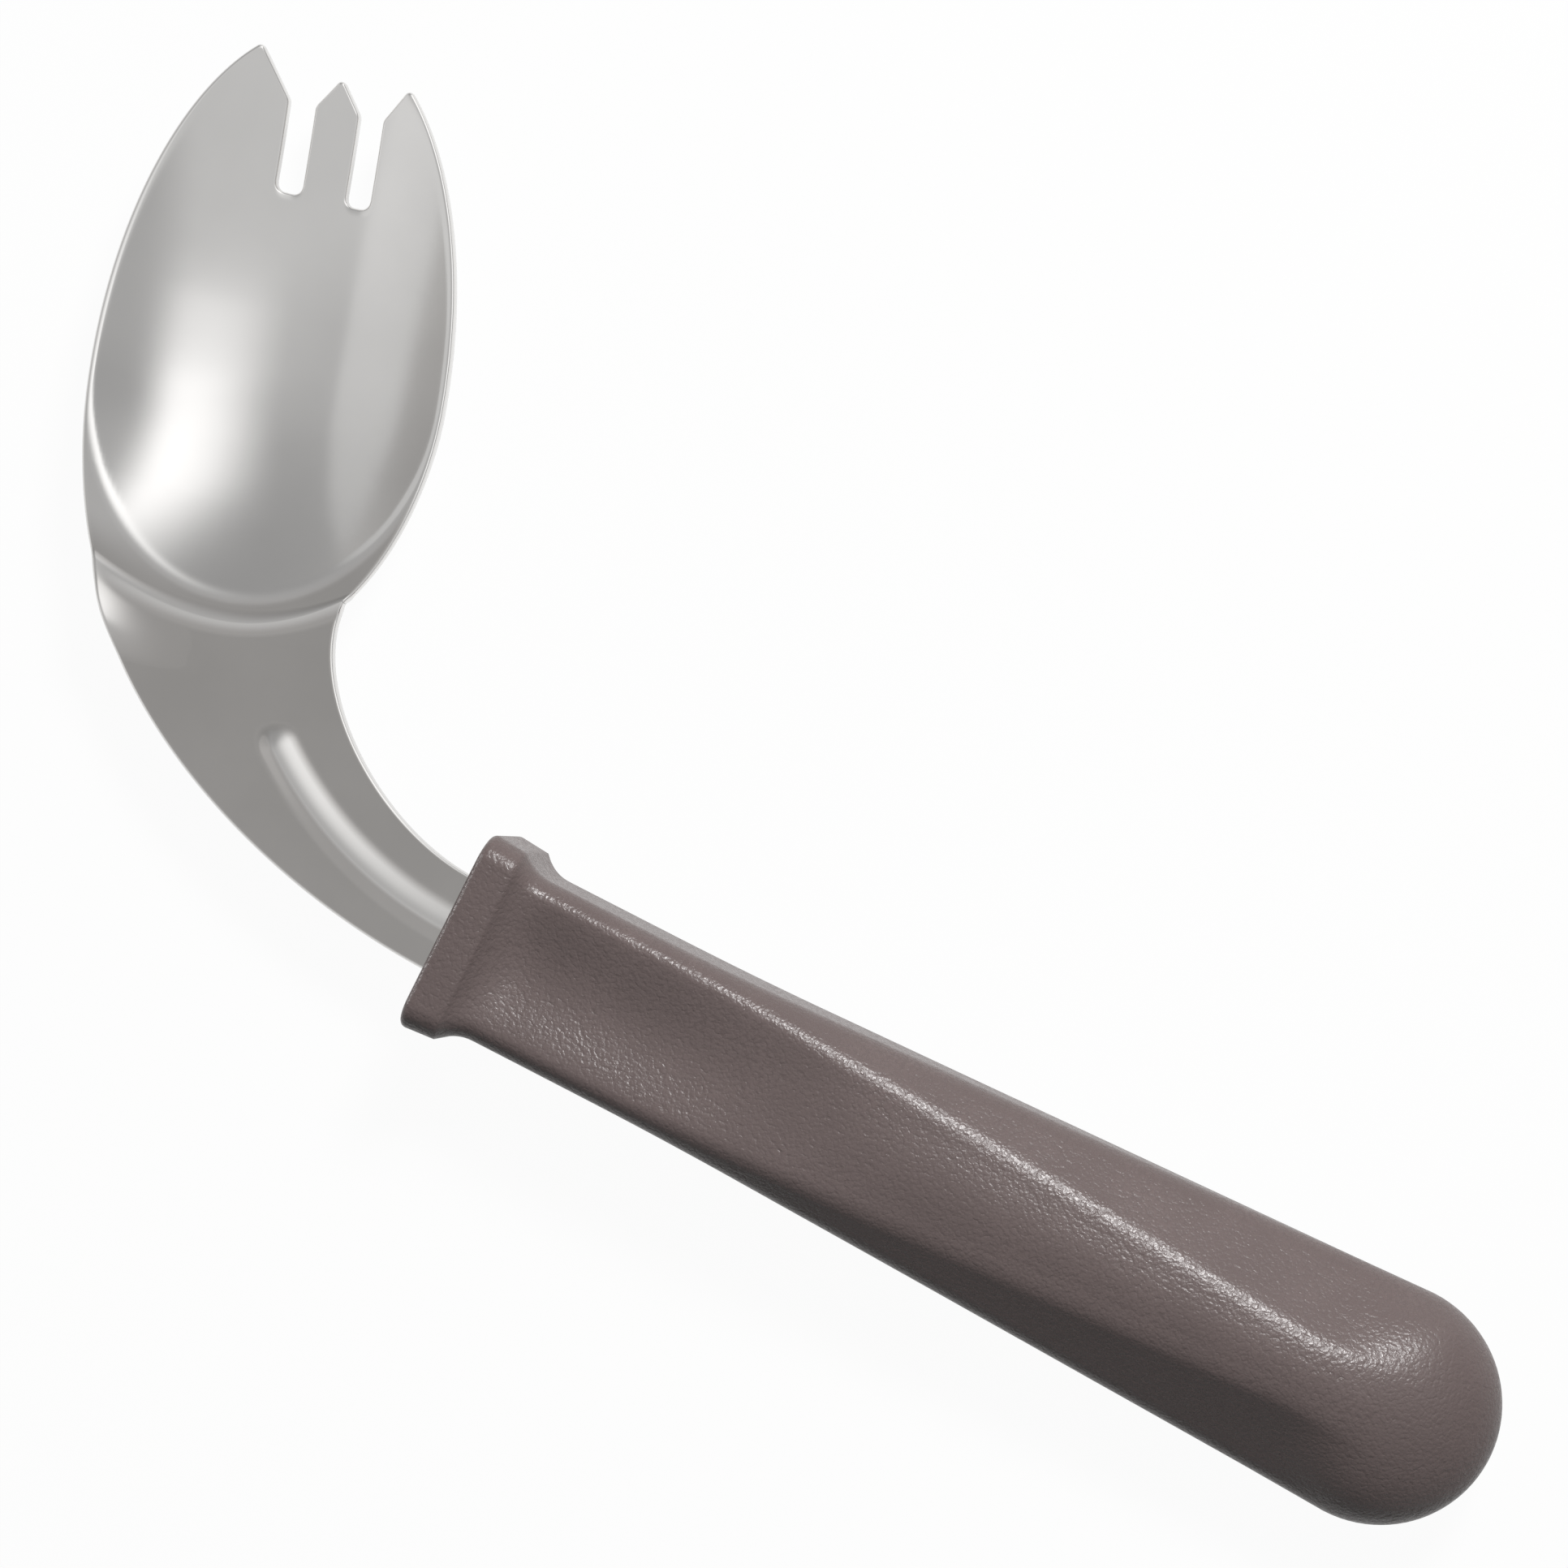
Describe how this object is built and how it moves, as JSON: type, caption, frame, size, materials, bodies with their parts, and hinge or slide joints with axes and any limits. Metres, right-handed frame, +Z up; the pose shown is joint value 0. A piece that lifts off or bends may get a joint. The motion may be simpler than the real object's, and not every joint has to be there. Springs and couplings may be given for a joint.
{
  "type": "angled spork",
  "caption": "Angled spork for easy holding: a pressed steel bowl with tines on a sideways-bent neck, set in a thick tapered plastic grip with a collar.",
  "frame": {"origin": "on the table, under the middle of the flat underside of the handle's collar", "axes": "+X along the handle to its butt, +Y to the side that the head bends to, +Z up out of the bowl"},
  "size_m": [0.1638, 0.0785, 0.017],
  "materials": {
    "steel": "fine satin polish",
    "grip": "fine moulded grain"
  },
  "bodies": {
    "root": {"spork_blade": "steel", "handle": "grip"}
  },
  "joints": []
}
